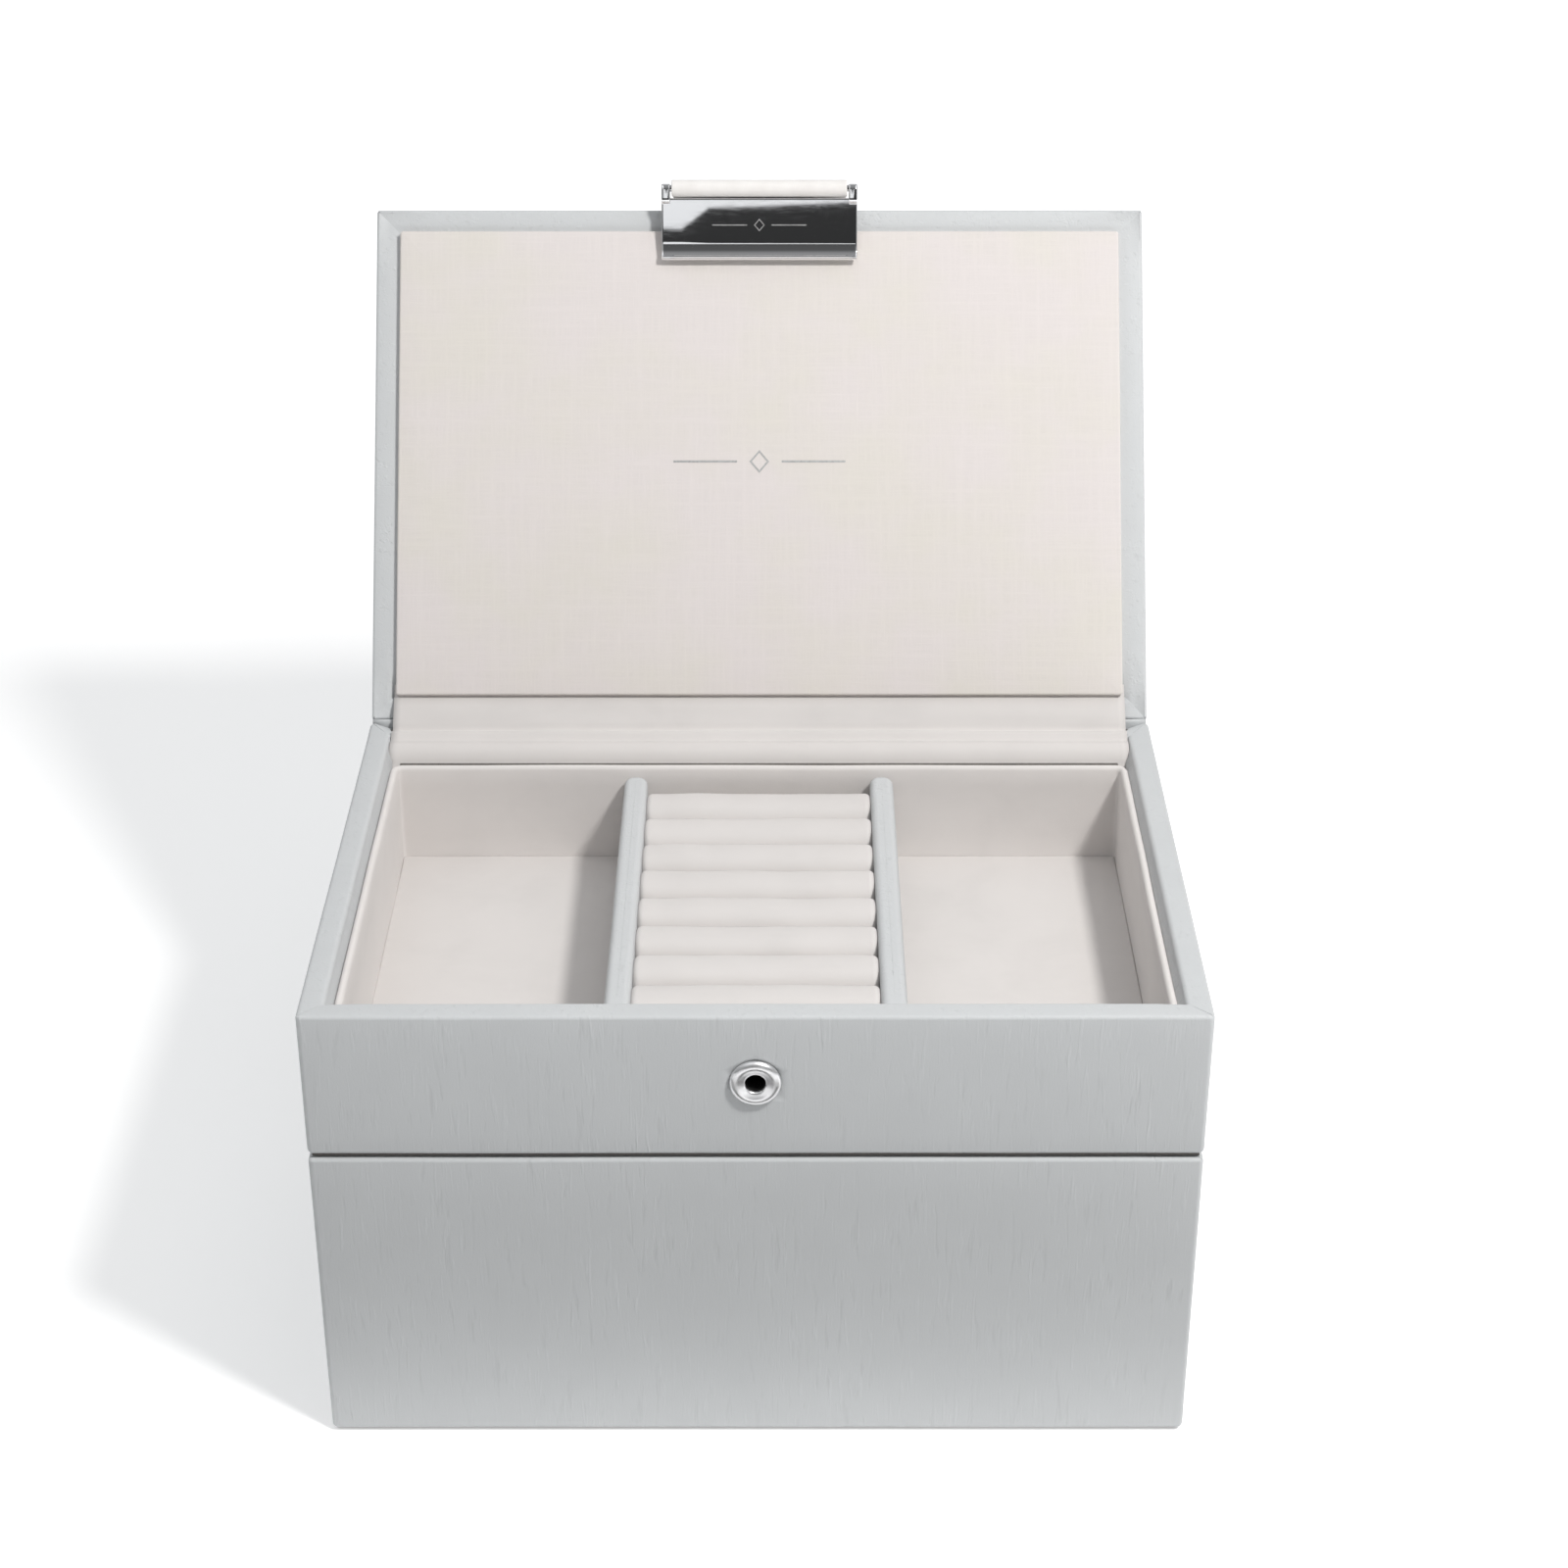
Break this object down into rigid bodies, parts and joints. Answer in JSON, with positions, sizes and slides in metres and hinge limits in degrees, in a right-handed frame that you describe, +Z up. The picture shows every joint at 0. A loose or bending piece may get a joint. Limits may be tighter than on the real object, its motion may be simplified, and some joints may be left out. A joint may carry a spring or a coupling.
{
  "type": "jewellery box",
  "caption": "Stacking jewellery case with a hinged lid, velvet-lined compartments, a ring-roll pad, a deep lower tray and a press-stud clasp.",
  "frame": {"origin": "centre of the underside, on the surface the case stands on", "axes": "+X to the right-hand side, -Y to the front where the clasp is, +Z up; the lid stands open"},
  "size_m": [0.18, 0.1956, 0.2159],
  "materials": {
    "leatherette": "fine creased grain, satin",
    "velvet": "short-pile velvet",
    "linen": "plain linen weave",
    "board": "dense grey-brown board",
    "foam": "soft open-cell foam",
    "felt": "pressed felt",
    "strap_leather": "smooth satin",
    "chrome": "polished"
  },
  "bodies": {
    "deep_tray": {"lower_frame": "board", "lower_wrap": "leatherette", "lower_base_board": "board", "lower_base_felt": "felt", "lower_liner": "velvet", "lower_floor_pad": "velvet"},
    "top_tray": {"upper_frame": "board", "upper_wrap": "leatherette", "upper_base_board": "board", "upper_plinth": "board", "upper_liner": "velvet", "rear_spacer": "board", "divider_left": "leatherette", "divider_right": "leatherette", "floor_pad_left": "velvet", "floor_pad_right": "velvet", "ring_pad_base": "foam", "ring_roll_1": "velvet", "ring_roll_2": "velvet", "ring_roll_3": "velvet", "ring_roll_4": "velvet", "ring_roll_5": "velvet", "ring_roll_6": "velvet", "ring_roll_7": "velvet", "ring_roll_8": "velvet", "popper_ring": "chrome", "popper_socket": "chrome", "popper_washer": "chrome", "hinge_spine_tray": "leatherette", "hinge_lining_tray": "velvet"},
    "lid": {"lid_frame": "board", "lid_top_board": "board", "lid_foam": "foam", "lid_wrap": "leatherette", "lid_panel_board": "board", "lid_inner_panel": "linen", "hinge_lining_lid": "velvet", "hinge_spine_lid": "leatherette", "strap_tail": "strap_leather"},
    "strap": {"clasp_strap": "strap_leather"},
    "clasp_plate": {"clasp_bar": "chrome", "clasp_plate": "chrome", "clasp_stud": "chrome"}
  },
  "joints": [
    {"name": "tray_lift", "type": "slide", "parent": "deep_tray", "child": "top_tray", "axis": [0, 0, 1], "range_m": [0, 0.11]},
    {"name": "lid_hinge", "type": "hinge", "parent": "top_tray", "child": "lid", "pos_m": [0, 0.06065, 0.10575], "axis": [1, 0, 0], "range_deg": [0, 122]},
    {"name": "clasp_press", "type": "hinge", "parent": "lid", "child": "strap", "pos_m": [0, 0.12978, 0.20458], "axis": [1, 0, 0], "range_deg": [0, 5], "stiffness_Nm_per_rad": 0.03, "springref_deg": -8.59},
    {"name": "clasp_fold", "type": "hinge", "parent": "strap", "child": "clasp_plate", "pos_m": [0, 0.12176, 0.21397], "axis": [1, 0, 0], "range_deg": [-104.4, 0]}
  ],
  "couplings": [
    {"joint": "clasp_fold", "follows": "lid_hinge", "ratio": -0.85492}
  ]
}
